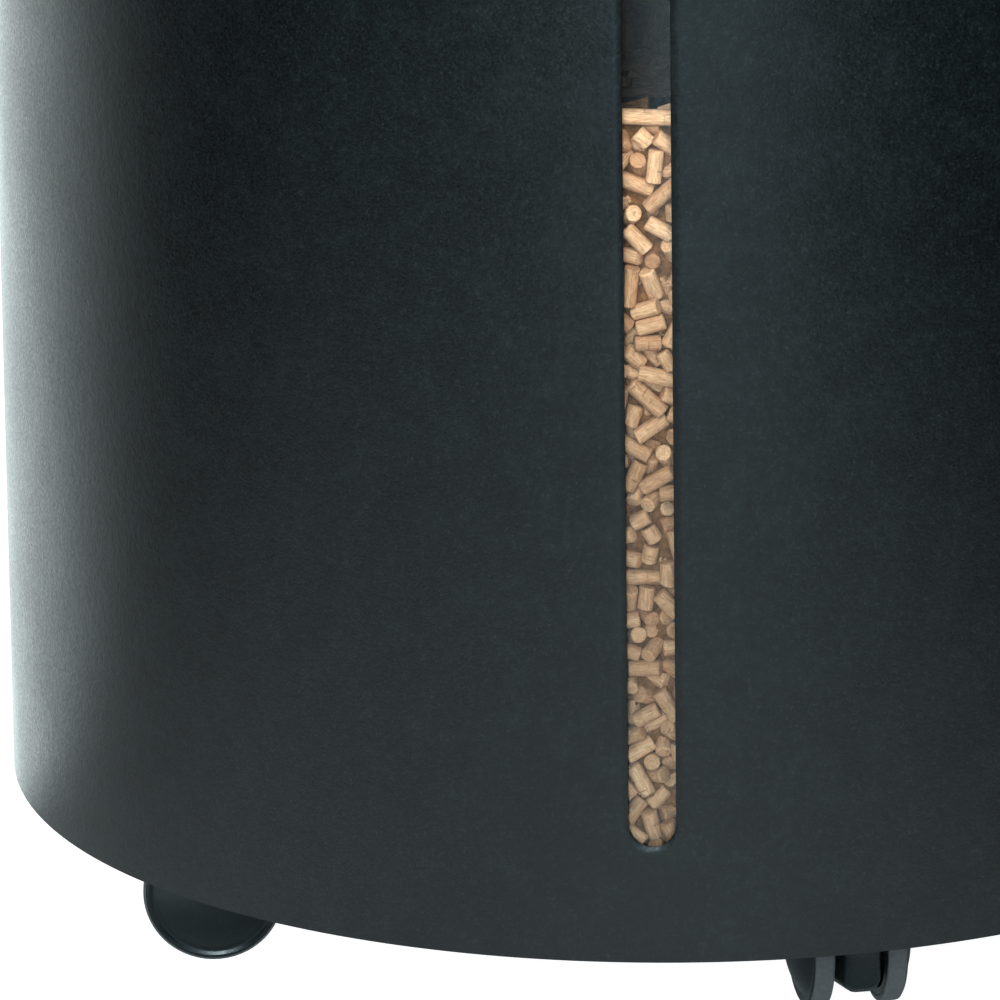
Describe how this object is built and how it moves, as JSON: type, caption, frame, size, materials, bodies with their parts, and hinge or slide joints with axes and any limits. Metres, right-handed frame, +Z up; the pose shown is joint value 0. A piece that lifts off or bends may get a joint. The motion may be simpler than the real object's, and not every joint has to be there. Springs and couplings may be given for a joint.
{
  "type": "rolling pellet bin",
  "caption": "Round sheet-steel storage bin for fuel or feed pellets, with a tall sight window in front, a lift-off lid with a knob and twin-wheel castors.",
  "frame": {"origin": "on the floor, under the middle of the drum", "axes": "+Z up along the drum's axis, -Y through the middle of the sight window, +X to the right seen from the window side"},
  "size_m": [0.485, 0.485, 0.5884],
  "materials": {
    "powder_coat": "anthracite fine-texture powder coat, satin",
    "zinc_steel": "bright zinc plate",
    "clear_strip": "clear plastic sheet, glossy",
    "wood_pellets": "pressed wood, matt with a slight gloss",
    "black_nylon": "moulded nylon, satin",
    "grey_tread": "soft grey tread, matt",
    "foam_rubber": "closed-cell foam",
    "satin_steel": "satin stainless steel"
  },
  "bodies": {
    "bin": {"body_shell": "powder_coat", "base_pan": "powder_coat", "window_strip": "clear_strip", "window_channel_left": "zinc_steel", "window_channel_right": "zinc_steel", "window_stop": "zinc_steel", "pellet_fill": "wood_pellets", "front_castor_stem": "zinc_steel", "front_castor_washer": "zinc_steel", "front_castor_nut": "zinc_steel", "left_castor_stem": "zinc_steel", "left_castor_washer": "zinc_steel", "left_castor_nut": "zinc_steel", "rear_castor_stem": "zinc_steel", "rear_castor_washer": "zinc_steel", "rear_castor_nut": "zinc_steel", "right_castor_stem": "zinc_steel", "right_castor_washer": "zinc_steel", "right_castor_nut": "zinc_steel"},
    "lid": {"lid_panel": "powder_coat", "lid_rim": "powder_coat", "lid_seal": "foam_rubber", "lid_knob": "satin_steel", "knob_washer": "zinc_steel", "knob_screw": "zinc_steel"},
    "front_castor_swivel": {"front_castor_housing": "black_nylon", "front_castor_axle": "zinc_steel"},
    "front_castor_left_wheel": {"front_castor_wheel_left": "black_nylon", "front_castor_tread_left": "grey_tread"},
    "front_castor_right_wheel": {"front_castor_wheel_right": "black_nylon", "front_castor_tread_right": "grey_tread"},
    "left_castor_swivel": {"left_castor_housing": "black_nylon", "left_castor_axle": "zinc_steel"},
    "left_castor_left_wheel": {"left_castor_wheel_left": "black_nylon", "left_castor_tread_left": "grey_tread"},
    "left_castor_right_wheel": {"left_castor_wheel_right": "black_nylon", "left_castor_tread_right": "grey_tread"},
    "rear_castor_swivel": {"rear_castor_housing": "black_nylon", "rear_castor_axle": "zinc_steel"},
    "rear_castor_left_wheel": {"rear_castor_wheel_left": "black_nylon", "rear_castor_tread_left": "grey_tread"},
    "rear_castor_right_wheel": {"rear_castor_wheel_right": "black_nylon", "rear_castor_tread_right": "grey_tread"},
    "right_castor_swivel": {"right_castor_housing": "black_nylon", "right_castor_axle": "zinc_steel"},
    "right_castor_left_wheel": {"right_castor_wheel_left": "black_nylon", "right_castor_tread_left": "grey_tread"},
    "right_castor_right_wheel": {"right_castor_wheel_right": "black_nylon", "right_castor_tread_right": "grey_tread"}
  },
  "joints": [
    {"name": "lid_lift", "type": "slide", "parent": "bin", "child": "lid", "axis": [0, 0, 1], "range_m": [0, 0.25]},
    {"name": "front_castor_swivel", "type": "hinge", "parent": "bin", "child": "front_castor_swivel", "pos_m": [0.0682, -0.14363, 0.05], "axis": [0, 0, 1], "continuous": true},
    {"name": "front_castor_left_wheel_spin", "type": "hinge", "parent": "front_castor_swivel", "child": "front_castor_left_wheel", "pos_m": [0.06336, -0.12422, 0.025], "axis": [-0.9703, -0.2419, 0], "continuous": true},
    {"name": "front_castor_right_wheel_spin", "type": "hinge", "parent": "front_castor_swivel", "child": "front_castor_right_wheel", "pos_m": [0.06336, -0.12422, 0.025], "axis": [-0.9703, -0.2419, 0], "continuous": true},
    {"name": "left_castor_swivel", "type": "hinge", "parent": "bin", "child": "left_castor_swivel", "pos_m": [-0.14363, -0.0682, 0.05], "axis": [0, 0, 1], "continuous": true},
    {"name": "left_castor_left_wheel_spin", "type": "hinge", "parent": "left_castor_swivel", "child": "left_castor_left_wheel", "pos_m": [-0.16358, -0.0696, 0.025], "axis": [0.0698, -0.9976, 0], "continuous": true},
    {"name": "left_castor_right_wheel_spin", "type": "hinge", "parent": "left_castor_swivel", "child": "left_castor_right_wheel", "pos_m": [-0.16358, -0.0696, 0.025], "axis": [0.0698, -0.9976, 0], "continuous": true},
    {"name": "rear_castor_swivel", "type": "hinge", "parent": "bin", "child": "rear_castor_swivel", "pos_m": [-0.0682, 0.14363, 0.05], "axis": [0, 0, 1], "continuous": true},
    {"name": "rear_castor_left_wheel_spin", "type": "hinge", "parent": "rear_castor_swivel", "child": "rear_castor_left_wheel", "pos_m": [-0.05182, 0.1551, 0.025], "axis": [-0.5736, 0.8192, 0], "continuous": true},
    {"name": "rear_castor_right_wheel_spin", "type": "hinge", "parent": "rear_castor_swivel", "child": "rear_castor_right_wheel", "pos_m": [-0.05182, 0.1551, 0.025], "axis": [-0.5736, 0.8192, 0], "continuous": true},
    {"name": "right_castor_swivel", "type": "hinge", "parent": "bin", "child": "right_castor_swivel", "pos_m": [0.14363, 0.0682, 0.05], "axis": [0, 0, 1], "continuous": true},
    {"name": "right_castor_left_wheel_spin", "type": "hinge", "parent": "right_castor_swivel", "child": "right_castor_left_wheel", "pos_m": [0.15302, 0.05054, 0.025], "axis": [0.8829, 0.4695, 0], "continuous": true},
    {"name": "right_castor_right_wheel_spin", "type": "hinge", "parent": "right_castor_swivel", "child": "right_castor_right_wheel", "pos_m": [0.15302, 0.05054, 0.025], "axis": [0.8829, 0.4695, 0], "continuous": true}
  ]
}
